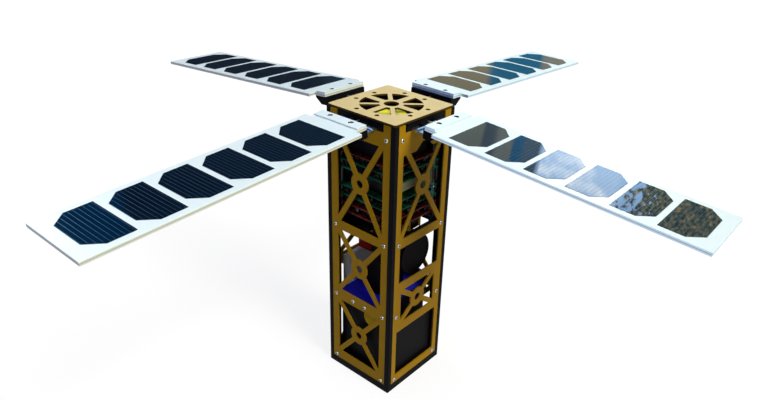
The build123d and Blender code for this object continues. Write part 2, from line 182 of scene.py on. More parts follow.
def add_coil(bm, radius, wire, length, turns, place=Matrix()):
    """A close-wound spring along its own y, centred on the origin."""
    ring = bmesh.ops.create_circle(bm, segments=WIRE_SEGMENTS, radius=wire / 2,
                                   matrix=turn(0, -length / 2, radius, 90, "Y"))["verts"]
    steps = turns * COIL_STEPS
    edges = list({e for v in ring for e in v.link_edges})
    bmesh.ops.spin(bm, geom=ring + edges, cent=(0, 0, 0), axis=(0, 1, 0),
                   dvec=(0, length / steps, 0), angle=math.tau * turns, steps=steps,
                   use_merge=False, use_duplicate=False)
    verts = joined_to(ring[0])
    open_ends = [e for e in {e for v in verts for e in v.link_edges} if len(e.link_faces) == 1]
    bmesh.ops.holes_fill(bm, edges=open_ends, sides=0)
    bmesh.ops.transform(bm, matrix=place, verts=verts)


def add_plate(bm, outline, holes, z0, z1, bevel):
    """A flat plate with bevelled rims: outline is its corners, holes are (x, y, radius)."""
    corners = [bm.verts.new((x, y, z0)) for x, y in outline]
    edges = [bm.edges.new((a, b)) for a, b in zip(corners, corners[1:] + corners[:1])]
    for x, y, radius in holes:
        ring = bmesh.ops.create_circle(bm, segments=HOLE_SEGMENTS, radius=radius,
                                       matrix=Matrix.Translation((x, y, z0)))
        edges += list({e for v in ring["verts"] for e in v.link_edges})
    made = bmesh.ops.triangle_fill(bm, use_beauty=True, use_dissolve=False, edges=edges)
    faces = [g for g in made["geom"] if isinstance(g, bmesh.types.BMFace)]
    raised = bmesh.ops.extrude_face_region(bm, geom=faces, use_keep_orig=True)
    lifted = [g for g in raised["geom"] if isinstance(g, bmesh.types.BMVert)]
    bmesh.ops.translate(bm, vec=(0, 0, z1 - z0), verts=lifted)
    verts = list({v for f in faces for v in f.verts} | set(lifted))
    folds = [e for v in verts for e in v.link_edges if len(e.link_faces) == 2]
    rims = [e for e in set(folds) if abs(e.verts[0].co.z - e.verts[1].co.z) < SAME_POINT
            and abs(e.calc_face_angle() - math.pi / 2) < SQUARE]
    bevelled(bm, verts, rims, bevel, segments=1)


def finish_piece(name, bm, materials, body, replaced=(), place=Matrix(), smooth_deg=40):
    """Close the mesh, put it in its place, give it its materials and let it ride on its body."""
    bmesh.ops.transform(bm, matrix=Matrix.Scale(MM, 4) @ place, verts=bm.verts[:])
    bmesh.ops.recalc_face_normals(bm, faces=bm.faces[:])
    for face in bm.faces:
        face.smooth = True
    limit = math.radians(smooth_deg)
    for edge in bm.edges:
        edge.smooth = len(edge.link_faces) == 2 and edge.calc_face_angle() < limit
    mesh = bpy.data.meshes.new(name)
    bm.to_mesh(mesh)
    bm.free()
    for material in materials:
        mesh.materials.append(material)
    piece = bpy.data.objects.new(name, mesh)
    bpy.context.scene.collection.objects.link(piece)
    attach(piece, body)
    if replaced:
        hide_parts(*replaced)


def dress(node, material):
    """Give a node of the frame its finish and leave its shape alone."""
    mesh = frame["nodes"][node].data
    mesh.materials.clear()
    mesh.materials.append(material)


# ---- materials -----------------------------------------------------------------------------------
# pattern sizes in millimetres; the fingers are drawn a little wider than life, to show
FINGER_PITCH, FINGER_W = 3.9, 0.36
BOND_HEIGHT, BOND_W = 9.0, 0.5  # glue line between a panel's two boards, above the pin
COAT_IOR = 1.38  # magnesium fluoride, the coat of cover glass
GLASS_ROUGHNESS, FINGER_ROUGHNESS = 0.02, 0.27
TRACK_PITCH = 5.0
TRACK_EDGE = 0.42  # share of the pitch that is bare of copper


def add_node(material, kind, inputs=(), **settings):
    """Add a node with its settings; an input given as a socket is linked, and any other is set."""
    tree = material.node_tree
    node = tree.nodes.new("ShaderNode" + kind)
    for name, value in settings.items():
        setattr(node, name, value)
    for key, value in dict(inputs).items():
        socket = node.inputs[key]
        if isinstance(value, bpy.types.NodeSocket):
            tree.links.new(value, socket)
        else:
            socket.default_value = opaque(value) if socket.type == "RGBA" else value
    return node


def start_material(name, **surface):
    """A new material with its Principled surface, whose plain sockets are set by name."""
    material = bpy.data.materials.new(name)
    material.use_nodes = True
    shader = material.node_tree.nodes["Principled BSDF"]
    for socket, value in surface.items():
        shader.inputs[socket.replace("_", " ")].default_value = value
    return material, shader


def object_noise(material, size_mm, detail=2.0, stretch=(1, 1, 1)):
    """Noise of that grain size over the piece; stretch lengthens the grain along an axis."""
    where = add_node(material, "TexCoord").outputs["Object"]
    scale = [1000 / size_mm / s for s in stretch]
    mapped = add_node(material, "Mapping", {"Vector": where, "Scale": scale})
    return add_node(material, "TexNoise", {"Vector": mapped.outputs[0], "Scale": 1.0,
                                           "Detail": detail}).outputs[0]


def link(material, source, target):
    """Join two sockets."""
    material.node_tree.links.new(source, target)


def paint(material, shader, pattern, first, second):
    """Paint the surface: the first colour where the pattern is 0, the second where it is 1."""
    mix = add_node(material, "Mix", {0: pattern, 6: first, 7: second}, data_type="RGBA")
    link(material, mix.outputs[2], shader.inputs["Base Color"])


def set_stops(ramp, stops):
    """Give a colour ramp its stops, each a position and an sRGB hex colour."""
    for position, hex_colour in stops:
        ramp.elements.new(position).color = opaque(linear(hex_colour))
    ramp.elements.remove(ramp.elements[0])
    ramp.elements.remove(ramp.elements[-1])


def grain(material, shader, size_mm, depth_mm):
    """Fine relief of the surface, read from noise."""
    height = object_noise(material, size_mm)
    bump = add_node(material, "Bump", {"Strength": 1.0, "Distance": depth_mm * MM,
                                       "Height": height})
    link(material, bump.outputs[0], shader.inputs["Normal"])


def flat_faces(material):
    """1 on faces that lie level, 0 on upright ones."""
    normal = add_node(material, "NewGeometry").outputs["Normal"]
    up = add_node(material, "SeparateXYZ", {0: normal}).outputs["Z"]
    size = add_node(material, "Math", {0: up}, operation="ABSOLUTE").outputs[0]
    return add_node(material, "Math", {0: size, 1: LEVEL}, operation="GREATER_THAN").outputs[0]


def conversion_coat(name, colour, roughness=0.5, metallic=0.2, upright_shade=None):
    """Aluminium sheet with a conversion coat: a matt film, slightly mottled where the bath ran.

    Its upright faces, the cut edges, may be painted a darker colour, as painted shade.
    """
    material, shader = start_material(name, Roughness=roughness, Metallic=metallic,
                                      Specular_IOR_Level=0.06)
    dark = [c * 0.9 for c in colour]
    pale = [min(1.0, c * 1.1) for c in colour]
    mottle = object_noise(material, 14.0, detail=4.0)
    # upright faces painted darker, as painted shade on the cut edges
    if upright_shade:
        coat = add_node(material, "Mix", {0: mottle, 6: dark, 7: pale}, data_type="RGBA").outputs[2]
        paint(material, shader, flat_faces(material), upright_shade, coat)
    else:
        paint(material, shader, mottle, dark, pale)
    grain(material, shader, size_mm=0.9, depth_mm=0.02)
    return material


def hard_anodised(name, colour):
    """Hard anodised aluminium: near black, satin, a little paler where hands have rubbed it."""
    material, shader = start_material(name, Roughness=0.5, Specular_IOR_Level=0.03)
    rubbed = [c * 1.5 + 0.001 for c in colour]
    paint(material, shader, object_noise(material, 9.0, detail=5.0), colour, rubbed)
    grain(material, shader, size_mm=0.7, depth_mm=0.015)
    return material


def solder_mask(name, colour, copper):
    """Solder mask over glass laminate: glossy, with the copper tracks standing paler under it."""
    material, shader = start_material(name, Roughness=0.4, Specular_IOR_Level=0.1)
    where = add_node(material, "TexCoord").outputs["Object"]
    cells = add_node(material, "TexVoronoi", {"Vector": where, "Scale": 1000 / TRACK_PITCH},
                     feature="F1", distance="CHEBYCHEV")
    tracks = add_node(material, "Math", {0: cells.outputs["Distance"], 1: TRACK_EDGE},
                      operation="GREATER_THAN")
    paint(material, shader, tracks.outputs[0], colour, copper)
    return material


def white_board(name, colour):
    """White solder mask over a thick glass laminate: smooth, with a faint orange peel."""
    material, shader = start_material(name, Roughness=0.38, Coat_Weight=0.25, Coat_Roughness=0.2)
    paint(material, shader, object_noise(material, 30.0), colour, [c * 0.94 for c in colour])
    grain(material, shader, size_mm=1.6, depth_mm=0.01)
    return material


def wing_coordinates(material, side):
    """Coordinates in a wing's own frame, in millimetres."""
    place = wing_place(side)
    where = add_node(material, "TexCoord").outputs["Object"]
    return add_node(material, "Mapping",
                    {"Vector": where, "Location": place.to_translation() * MM,
                     "Rotation": place.to_euler(), "Scale": (MM, MM, MM)},
                    vector_type="TEXTURE").outputs[0]


def laminate_edge(name, side, colour, bond, painted_mirror):
    """Sawn edge of glass laminate: pale, fine layers, and a darker bond line between two boards.

    Its metallic share mirrors the bright ground, as painted reflection; two wings get more of it
    and a bluish tint, as painted reflection of the sky.
    """
    material, shader = start_material(name, Roughness=0.45, Specular_IOR_Level=0.3,
                                      Metallic=painted_mirror)
    layers = object_noise(material, 1.2, detail=3.0, stretch=(12, 12, 1))
    sawn = add_node(material, "Mix", {0: layers, 6: colour, 7: [c * 0.86 for c in colour]},
                    data_type="RGBA").outputs[2]
    height = add_node(material, "SeparateXYZ", {0: wing_coordinates(material, side)}).outputs[2]
    line = add_node(material, "Math", {0: height, 1: BOND_HEIGHT, 2: BOND_W / 2},
                    operation="COMPARE").outputs[0]
    paint(material, shader, line, sawn, bond)
    return material


def moulded_plastic(name, colour, roughness=0.45, shine=0.3):
    """Moulded plastic with a fine spark-eroded grain."""
    material, shader = start_material(name, Roughness=roughness, Specular_IOR_Level=shine)
    paint(material, shader, object_noise(material, 6.0), colour, [c * 0.85 for c in colour])
    grain(material, shader, size_mm=0.8, depth_mm=0.02)
    return material


def brushed_steel(name, colour):
    """Stainless sheet or wire, bright, with fine lines from brushing."""
    material, shader = start_material(name, Roughness=0.28, Metallic=1.0)
    lines = object_noise(material, 0.5, stretch=(1, 1, 14))
    paint(material, shader, lines, colour, [c * 0.8 for c in colour])
    return material


def solar_cell(name, side, cell, finger):
    """Dark cell under coated cover glass: silver fingers cross it, and the coat mirrors bluish."""
    material, shader = start_material(name, IOR=COAT_IOR, Specular_Tint=(0.6, 0.75, 1.0, 1.0))
    x = add_node(material, "SeparateXYZ", {0: wing_coordinates(material, side)}).outputs[0]
    turns = add_node(material, "Math", {0: x, 1: FINGER_PITCH}, operation="DIVIDE").outputs[0]
    phase = add_node(material, "Math", {0: turns}, operation="FRACT").outputs[0]
    lines = add_node(material, "Math", {0: phase, 1: FINGER_W / FINGER_PITCH},
                     operation="LESS_THAN").outputs[0]
    paint(material, shader, lines, cell, finger)
    matt = add_node(material, "MapRange", {0: lines, 3: GLASS_ROUGHNESS,
                                           4: FINGER_ROUGHNESS}).outputs[0]
    link(material, matt, shader.inputs["Roughness"])
    return material


# ---- settings ------------------------------------------------------------------------------------

def colour_setting(name, description, hex_colour):
    """A colour that a user may change."""
    return bpy.props.FloatVectorProperty(name=name, description=description, subtype="COLOR",
                                         size=3, min=0.0, max=1.0, default=linear(hex_colour))


def length_setting(name, description, millimetres):
    """A length that a user may change, in metres as Blender shows it."""
    return bpy.props.FloatProperty(name=name, description=description, unit="LENGTH",
                                   min=0.0, default=millimetres * MM)


class SatelliteFinish(bpy.types.PropertyGroup):
    """Colours of the satellite's finishes."""
    side_gold: colour_setting("Side gold", "Conversion coat of the side plates", "#A07800")
    top_gold: colour_setting("Top gold", "Pale conversion coat of the end plates", "#DCC68C")
    # painted shade: darker colour on the upright cut edges of the end plates
    upright_shade_gold: colour_setting("Upright shade gold", "Cut edges of the end plates", "#4A360C")
    black: colour_setting("Black", "Hard anodising of the rails", "#08080B")
    board_white: colour_setting("Board white", "Solder mask of the solar panels", "#EAFCFF")
    board_edge: colour_setting("Board edge", "Sawn laminate edge of the panels", "#DDE2D2")
    # painted reflection of the sky: bluish tint of the edges of two wings
    sky_tinted_edge: colour_setting("Sky-tinted edge", "Lacquered laminate edge of two panels", "#DCF4FF")
    bond_line: colour_setting("Bond line", "Glue between a panel's two boards", "#8E9486")
    cell: colour_setting("Cell", "Solar cells", "#02132A")
    finger: colour_setting("Finger", "Silver fingers on the cells", "#1C3248")
    green: colour_setting("Green", "Green circuit boards", "#06432F")
    maroon: colour_setting("Maroon", "Dark red circuit boards", "#541410")
    shelf_blue: colour_setting("Shelf blue", "Anodising of the payload shelf", "#2626E4")
    steel: colour_setting("Steel", "Springs, leaves and screws", "#C8CDD2")


class SatelliteSizes(bpy.types.PropertyGroup):
    """Sizes of the satellite's small parts."""
    screw_head: length_setting("Screw head", "Diameter of a dome screw head", 4.8)
    head_height: length_setting("Head height", "Height of a dome screw head", 1.3)
    wire: length_setting("Spring wire", "Diameter of the hinge springs' wire", 1.4)


def finish_of():
    """The colours that are set on the scene."""
    return bpy.context.scene.satellite_finish


def sizes_of():
    """The sizes that are set on the scene."""
    return bpy.context.scene.satellite_sizes


# ---- sizes shared with the solid model (millimetres) ---------------------------------------------
# A wing's own frame: x out from the pin, y along it, z up from the open panel.
PANEL_X0, PANEL_X1 = 30.0, 308.4
PANEL_HALF = 40.0
PANEL_Z0, PANEL_Z1 = 7.1, 10.9
DOUBLER_X1 = 27.0
DOUBLER_Z1 = 12.8
TONGUE_X0 = 14.0
TONGUE_HALF = 31.0
HOLE_X, HOLE_Y, HOLE_R = 19.3, 14.8, 2.8
KNUCKLE_IN, KNUCKLE_OUT = 13.0, 25.5
KNUCKLE_R, KNUCKLE_BORE_R = 2.6, 1.57
LEAF_T = 1.5
LEAF_X0 = 1.5
LEAF_BRIDGE_X0 = 5.0
LEAF_HOLE_X, LEAF_HOLE_Y, LEAF_HOLE_R = 7.2, 22.3, 1.3
ARM_X0 = 11.8
COIL_HALF, COIL_R, COIL_TURNS = 8.2, 3.7, 11
LEG_X0, LEG_Z = 3.9, 3.0
BRACKET_R1 = 49.9


# ---- operators -----------------------------------------------------------------------------------
# plain moulded pieces: nodes, finish, colour, roughness, shine
MOULDED = (
    (("cover_plates", "camera_body", "camera_foot", "battery_box", "base_module", "top_module"),
     "black_moulding", "#0A080C", 0.5, 0.04),
    (("red_module",), "red_epoxy", "#A81A14", 0.5, 0.1),
    (("top_disc",), "yellow_film", "#FAFA3C", 0.4, 0.15),
    (("yellow_boss",), "mustard_plastic", "#C49C06", 0.5, 0.05),
    (("stack_standoffs",), "yellow_nylon", "#C79A06", 0.35, 0.3),
)


class SATELLITE_OT_metalwork(bpy.types.Operator):
    """Give the rails, frames, plates and plain modules their finishes"""
    bl_idname = "satellite.metalwork"
    bl_label = "Metalwork"

    def execute(self, context):
        look = finish_of()
        gold = conversion_coat("conversion_coated_aluminium", look.side_gold)
        # the end plates' upright cut edges get painted shade
        pale_gold = conversion_coat("pale_conversion_coat", look.top_gold, roughness=0.45,
                                    metallic=0.15, upright_shade=look.upright_shade_gold)
        black = hard_anodised("hard_anodised_aluminium", look.black)
        for node in frame["nodes"]:
            if node.startswith("side_plate"):
                dress(node, gold)
            elif node.startswith(("rail", "hinge_bracket", "hinge_arm")) or node.endswith("_frame"):
                dress(node, black)
            elif node in ("top_plate", "bottom_plate"):
                dress(node, pale_gold)
        for nodes, name, colour, roughness, shine in MOULDED:
            finish = moulded_plastic(name, linear(colour), roughness, shine)
            for node in nodes:
                dress(node, finish)
        # the shelf's upright faces are painted dark navy, as painted shade
        dress("payload_shelf", conversion_coat("blue_anodised", look.shelf_blue, roughness=0.45,
                                               upright_shade=linear("#10102E")))
        dress("radiator_plate", conversion_coat("clear_anodised", linear("#FAFFF0"), metallic=0.05))
        steel = brushed_steel("stainless_steel", look.steel)
        dress("hinge_pins", steel)
        dress("stack_rods", conversion_coat("dull_aluminium", linear("#5A5C60"), roughness=0.6,
                                            metallic=0.8))
        return {"FINISHED"}


BOARDS = 7
GREEN_BOARDS = (3, 4, 5, 6)  # counted from the lowest; the others are maroon
COMPONENT_SEED = 11
CORE = 34.0  # half width of the tall components in the middle of a board
CORE_GAP = 0.5  # left between them and the board above
OVERLAP = 0.5  # of the components round them with them
# components round the edge of a board: their ranges of size, and the finishes that they draw from
WIDTHS, DEPTHS, GAPS = (2.2, 7.0), (1.5, 6.5), (0.6, 2.5)
HEIGHT_SHARES = (0.2, 0.85)  # of the gap between two boards
KINDS = (0, 0, 0, 0, 1, 2)
PACK_BOARD = 4  # carries the battery pack
PACK_LOW = (-39.0, -34.0)
PACK_HIGH = (22.0, 34.0)
PACK_GAP = 0.4
PIN_PITCH = 2.54
PIN_OUT = 0.5  # how far the pins stand out of the stacking connector
PIN_R, PIN_TIP_R, PIN_LENGTH = 0.5, 0.35, 1.2
PIN_SIDES = 6
# plugs beside the stacking connector, on the highest board and under the lowest board:
# low corner, high corner, finish
PLUGS = (
    ((34.2, 22.6, 260.0), (42.0, 25.6, 277.1), 3),
    ((34.2, 26.2, 258.5), (41.5, 29.8, 277.1), 1),
    ((34.2, 30.6, 262.0), (41.0, 33.6, 277.1), 2),
    ((37.0, 24.0, 298.0), (42.5, 36.0, 308.0), 0),
    ((28.0, -3.0, 208.5), (39.0, 8.0, 223.2), 0),
    ((22.0, -15.0, 211.0), (37.0, -4.0, 223.2), 0),
)


class SATELLITE_OT_boards(bpy.types.Operator):
    """Finish the circuit boards of the stack"""
    bl_idname = "satellite.boards"
    bl_label = "Circuit boards"

    def execute(self, context):
        look = finish_of()
        green = solder_mask("green_solder_mask", look.green, linear("#0C6A48"))
        maroon = solder_mask("maroon_solder_mask", look.maroon, linear("#7A2618"))
        for number in range(1, BOARDS + 1):
            dress(f"board_{number}", green if number in GREEN_BOARDS else maroon)
        self.add_components()
        self.add_header()
        return {"FINISHED"}

    def add_components(self):
        """Chips, capacitors and connectors that fill the gaps between the boards."""
        chance = random.Random(COMPONENT_SEED)
        bm = bmesh.new()
        for number in range(1, BOARDS):
            floor, roof = high(f"board_{number}").z, low(f"board_{number + 1}").z
            if number == PACK_BOARD:
                add_block(bm, (*PACK_LOW, floor), (*PACK_HIGH, roof - PACK_GAP), bevel=1.0)
                continue
            add_block(bm, (-CORE, -CORE, floor), (CORE, CORE, roof - CORE_GAP), bevel=0.4)
            for quarter in range(4):
                side = turn(spin=90 * quarter)
                at = -CORE
                while at < CORE - WIDTHS[1]:
                    width = chance.uniform(*WIDTHS)
                    depth = chance.uniform(*DEPTHS)
                    height = (roof - floor) * chance.uniform(*HEIGHT_SHARES)
                    kind = chance.choice(KINDS)
                    add_block(bm, (CORE - OVERLAP, at, floor),
                              (CORE + depth, at + width, floor + height), bevel=0.2,
                              material=kind, place=side)
                    at += width + chance.uniform(*GAPS)
        for low_corner, high_corner, kind in PLUGS:
            add_block(bm, low_corner, high_corner, bevel=0.3, material=kind)
        epoxy = moulded_plastic("chip_epoxy", linear("#08080A"), roughness=0.5, shine=0.2)
        capacitor = moulded_plastic("tantalum_capacitor", linear("#3A2A14"), roughness=0.5,
                                    shine=0.15)
        can = brushed_steel("tinned_can", linear("#3E4246"))
        nylon = moulded_plastic("olive_nylon", linear("#6E6A48"), roughness=0.5, shine=0.15)
        finish_piece("board_components", bm, [epoxy, capacitor, can, nylon], "bus",
                     ("board_parts",))

    def add_header(self):
        """Stacking connector between two boards, with its rows of pins."""
        bm = bmesh.new()
        bottom, top = low("header_block"), high("header_block")
        add_block(bm, bottom, (top.x - PIN_OUT, top.y, top.z), bevel=0.4)
        rows = int((top.z - bottom.z) / PIN_PITCH)
        columns = int((top.y - bottom.y) / PIN_PITCH)
        for row in range(rows):
            for column in range(columns):
                spot = turn(top.x - PIN_LENGTH / 2, bottom.y + (column + 0.5) * PIN_PITCH,
                            bottom.z + (row + 0.5) * PIN_PITCH, 90, "Y")
                bmesh.ops.create_cone(bm, cap_ends=True, segments=PIN_SIDES, radius1=PIN_R,
                                      radius2=PIN_TIP_R, depth=PIN_LENGTH, matrix=spot)
        nylon = moulded_plastic("beige_nylon", linear("#A3A27E"), roughness=0.5, shine=0.15)
        finish_piece("stacking_connector", bm, [nylon], "bus", ("header_block",))


SKY_TINTED_WINGS = ("right", "back")  # wings whose edges get a bluish tint and more mirror, as painted reflection of the sky
TINTED_EDGE_MIRROR, PLAIN_EDGE_MIRROR = 0.65, 0.1  # how much of the bright ground the edges mirror, as painted reflection
EDGE, HOLE_SHADE = 1, 2  # places of these finishes in a panel's list; the last is the painted shade of the hole walls


class SATELLITE_OT_panels(bpy.types.Operator):
    """Build the four solar panels and finish their cells"""
    bl_idname = "satellite.panels"
    bl_label = "Solar panels"

    def execute(self, context):
        look = finish_of()
        white = white_board("white_solder_mask", look.board_white)
        # the hole walls are painted near black, as painted shade inside the holes
        hole_shade = moulded_plastic("hole_wall_shade", linear("#050607"), roughness=0.6, shine=0.05)
        for side in SIDES:
            # the right and back wings' edges get the painted sky reflection
            sky_tinted = side in SKY_TINTED_WINGS
            edge = laminate_edge(f"laminate_edge_{side}", side,
                                 look.sky_tinted_edge if sky_tinted else look.board_edge, look.bond_line,
                                 TINTED_EDGE_MIRROR if sky_tinted else PLAIN_EDGE_MIRROR)
            self.add_panel(side, [white, edge, hole_shade])
            cell = solar_cell(f"solar_cell_{side}", side, look.cell, look.finger)
            dress(f"solar_cells_{side}", cell)
        return {"FINISHED"}

    def add_panel(self, side, materials):
        """Long board with a narrow root tongue, and a doubler on the tongue."""
        bm = bmesh.new()
        holes = [(HOLE_X, HOLE_Y, HOLE_R), (HOLE_X, -HOLE_Y, HOLE_R)]
        board = ((TONGUE_X0, -TONGUE_HALF), (PANEL_X0, -TONGUE_HALF), (PANEL_X0, -PANEL_HALF),
                 (PANEL_X1, -PANEL_HALF), (PANEL_X1, PANEL_HALF), (PANEL_X0, PANEL_HALF),
                 (PANEL_X0, TONGUE_HALF), (TONGUE_X0, TONGUE_HALF))
        doubler = ((TONGUE_X0, -TONGUE_HALF), (DOUBLER_X1, -TONGUE_HALF),
                   (DOUBLER_X1, TONGUE_HALF), (TONGUE_X0, TONGUE_HALF))
        add_plate(bm, board, holes, PANEL_Z0, PANEL_Z1, bevel=0.25)
        add_plate(bm, doubler, holes, PANEL_Z1, DOUBLER_Z1, bevel=0.2)
        for face in bm.faces:
            if abs(face.normal.z) < LEVEL:
                middle = face.calc_center_median()
                in_hole = any((middle.xy - Vector((x, y))).length < r + 0.3 for x, y, r in holes)
                face.material_index = HOLE_SHADE if in_hole else EDGE
        finish_piece(f"panel_board_{side}", bm, materials, f"wing_{side}",
                     (f"panel_{side}",), place=wing_place(side), smooth_deg=30)


class SATELLITE_OT_hinges(bpy.types.Operator):
    """Build the hinges: wound springs, leaves with rolled knuckles and the springs' legs"""
    bl_idname = "satellite.hinges"
    bl_label = "Hinges"

    def execute(self, context):
        wire = sizes_of().wire / MM
        spring = brushed_steel("spring_steel", linear("#A9AEB4"))
        bm = bmesh.new()
        for side in SIDES:
            pin = pin_place(side)
            add_coil(bm, COIL_R - wire / 2, wire, 2 * COIL_HALF - wire, COIL_TURNS, place=pin)
            leg = turn(BRACKET_R1 - pin.to_translation().xy.length, 0, LEG_Z, 90, "Y")
            add_rod(bm, wire / 2, -leg.to_translation().x, place=pin @ leg)
        finish_piece("hinge_coils", bm, [spring], "bus", ("hinge_springs",))
        # the leaves' steel is tinted blue, as painted reflection of the sky
        leaf = brushed_steel("steel_leaf_sky_tint", linear("#8AA4C6"))
        for side in SIDES:
            self.add_leaf(side, wire, [leaf, spring])
        return {"FINISHED"}

    def add_leaf(self, side, wire, materials):
        """Moving leaf: a flat plate rolled round the pin at both ends, with the spring's leg."""
        bm = bmesh.new()
        outline = ((LEAF_X0, KNUCKLE_IN), (LEAF_X0, KNUCKLE_OUT), (ARM_X0, KNUCKLE_OUT),
                   (ARM_X0, -KNUCKLE_OUT), (LEAF_X0, -KNUCKLE_OUT), (LEAF_X0, -KNUCKLE_IN),
                   (LEAF_BRIDGE_X0, -KNUCKLE_IN), (LEAF_BRIDGE_X0, KNUCKLE_IN))
        holes = [(LEAF_HOLE_X, y, LEAF_HOLE_R) for y in (-LEAF_HOLE_Y, LEAF_HOLE_Y)]
        add_plate(bm, outline, holes, -LEAF_T / 2, LEAF_T / 2, bevel=0.15)
        width = KNUCKLE_OUT - KNUCKLE_IN
        tube = ((KNUCKLE_BORE_R, 0), (KNUCKLE_R, 0), (KNUCKLE_R, width), (KNUCKLE_BORE_R, width),
                (KNUCKLE_BORE_R, 0))
        for start in (KNUCKLE_IN, -KNUCKLE_OUT):
            add_lathe(bm, tube, place=turn(0, start, 0, -90, "X"))
        leg = turn(LEG_X0, 0, LEG_Z, 90, "Y")
        add_rod(bm, wire / 2, ARM_X0 - LEG_X0, material=1, place=leg)
        finish_piece(f"moving_leaf_{side}", bm, materials, f"wing_{side}",
                     (f"hinge_leaf_{side}",), place=wing_place(side))


# distance of the side plates' screws from the middle of a side, and their heights
PAIR = 37.9
SCREW_ROWS = (13.5, 108.0, 205.4, 330.6)
SHELF_SCREWS = ((-9.5, 108.5), (9.5, 108.5))
SHANK = 1.2  # how far a screw's shank runs into its plate


def add_screw(bm, place, head, height):
    """Dome-headed socket screw, its head's underside at the origin and its shank behind it."""
    r = head / 2
    floor = 0.3 * height
    add_lathe(bm, ((0.5 * r, height), (0.7 * r, 0.9 * height), (0.9 * r, 0.6 * height),
                   (r, 0.15 * height), (r, 0), (0.6 * r, 0), (0.6 * r, -SHANK), (0, -SHANK)),
              steps=16, place=place)
    add_lathe(bm, ((0, floor), (0.44 * r, floor), (0.5 * r, height)), steps=6, material=1,
              place=place)


class SATELLITE_OT_screws(bpy.types.Operator):
    """Put the dome-headed screws into the side plates"""
    bl_idname = "satellite.screws"
    bl_label = "Screws"

    def execute(self, context):
        sizes = sizes_of()
        steel = bpy.data.materials["stainless_steel"]
        socket = moulded_plastic("screw_socket_shade", linear("#23262B"), roughness=0.6, shine=0.2)
        for side in SIDES:
            spots = [(h, z) for z in SCREW_ROWS for h in (-PAIR, PAIR)]
            if side in ("front", "back"):
                spots += SHELF_SCREWS
            bm = bmesh.new()
            for h, z in spots:
                add_screw(bm, turn(FACE_R, h, z, 90, "Y"), sizes.screw_head / MM,
                          sizes.head_height / MM)
            finish_piece(f"screws_{side}", bm, [steel, socket], "bus",
                         place=side_place(side))
        return {"FINISHED"}


# the barrel's front: a groove behind the rim, measured from the front, and a dish inside the rim
GROOVE_FROM, GROOVE_TO, GROOVE_DEPTH, GROOVE_SLOPE = 6.0, 4.6, 0.6, 0.4
RIM_W, RIM_BEVEL, DISH_DEPTH = 3.6, 0.8, 0.7


class SATELLITE_OT_camera(bpy.types.Operator):
    """Build the payload camera's barrel and its front cap"""
    bl_idname = "satellite.camera"
    bl_label = "Payload camera"

    def execute(self, context):
        back, front = low("lens_barrel"), high("lens_barrel")
        r = (front.z - back.z) / 2
        length = front.x - back.x
        profile = ((0, 0), (r, 0), (r, length - GROOVE_FROM),
                   (r - GROOVE_DEPTH, length - GROOVE_FROM + GROOVE_SLOPE),
                   (r - GROOVE_DEPTH, length - GROOVE_TO - GROOVE_SLOPE), (r, length - GROOVE_TO),
                   (r, length - RIM_BEVEL), (r - RIM_BEVEL, length), (r - RIM_W, length),
                   (r - RIM_W - RIM_BEVEL, length - DISH_DEPTH), (0, length - DISH_DEPTH))
        bm = bmesh.new()
        add_lathe(bm, profile, steps=64, place=turn(back.x, 0, back.z + r, 90, "Y"))
        rubber = moulded_plastic("rubber_cap", linear("#080506"), roughness=0.6, shine=0.03)
        finish_piece("camera_barrel", bm, [rubber], "bus", ("lens_barrel",))
        return {"FINISHED"}


# ---- stage ---------------------------------------------------------------------------------------
# The camera looks down at the satellite from its front right, in degrees and millimetres.
CAMERA_AZIMUTH = 37.119
CAMERA_ELEVATION = 26.555
CAMERA_ROLL = 3.377
CAMERA_DISTANCE = 775.789
CAMERA_TARGET = (40.701, 26.785, 237.144)
IMAGE_SIZE = (768, 400)
FOCAL_PIXELS = 665.977
PRINCIPAL_POINT = (430.363, 199.432)
SENSOR = 36.0
CLIP_START = 0.01  # metres

# The stage, in metres.
FLOOR_R = 12.0
FLOOR_GAP = 0.0002  # keeps the floor's face off the satellite's feet
FLOOR_LIFT = 0.84  # brings the floor to white where it is seen, and leaves the shadow on it
WORLD_LIGHT = 0.2  # strength of the world where it lights the satellite
STAGE_SEGMENTS = 96

# The wall round the stage, in metres. Only glossy surfaces see it, as they would the sky, a
# building and trees outdoors. Directions are in degrees from +X: every cell mirrors a few degrees
# of the wall, the near panels its upper part and the far panels its lower part.
WALL_R = 60.0
WALL_TOP = 45.0
WALL_SPLIT = 17.5  # height at which the upper part starts
WALL_FROM, WALL_TO = 95.0, 170.0  # painted directions; the dark end colours run on round the back
UPPER_GLOW, LOWER_GLOW = 11.8, 4.7
UPPER_WALL = (
    (95, "#060C10"), (100.5, "#060C10"), (100.7, "#9CB5CC"), (105.2, "#7E9FC0"), (106.6, "#9CB5CC"),
    (113.9, "#96B1CC"), (114.25, "#303F44"), (115.7, "#36434A"), (115.9, "#143F56"),
    (116.75, "#163F56"), (116.95, "#50544A"), (118.3, "#525549"), (118.6, "#34393A"),
    (119.6, "#2E3534"), (119.9, "#4D5044"), (124, "#4B5046"), (125, "#6C808B"), (130, "#6C808B"),
    (132, "#244259"), (137, "#244259"), (138, "#0C110C"), (158.4, "#090F0E"), (159.4, "#002136"),
    (163, "#02243A"), (165, "#022C40"), (170, "#022C40"),
)
LOWER_WALL = (
    (95, "#070B10"), (112, "#070B10"), (112.4, "#6B685A"), (117.5, "#6B685A"), (117.8, "#185068"),
    (121.8, "#1B526A"), (122.1, "#70694E"), (128, "#70694E"), (130, "#2B333A"), (137, "#212A30"),
    (139, "#121510"), (147, "#0E1110"), (150, "#070B10"), (170, "#070B10"),
)
TREES = (92.0, 104.6)  # directions between which the trees stand
CLOUDS = (106.4, 113.9)
CLOUD_EDGE = (0.46, 0.64)  # noise between which a cloud thickens, from nothing to its full cover
CLOUD_COVER = 0.85
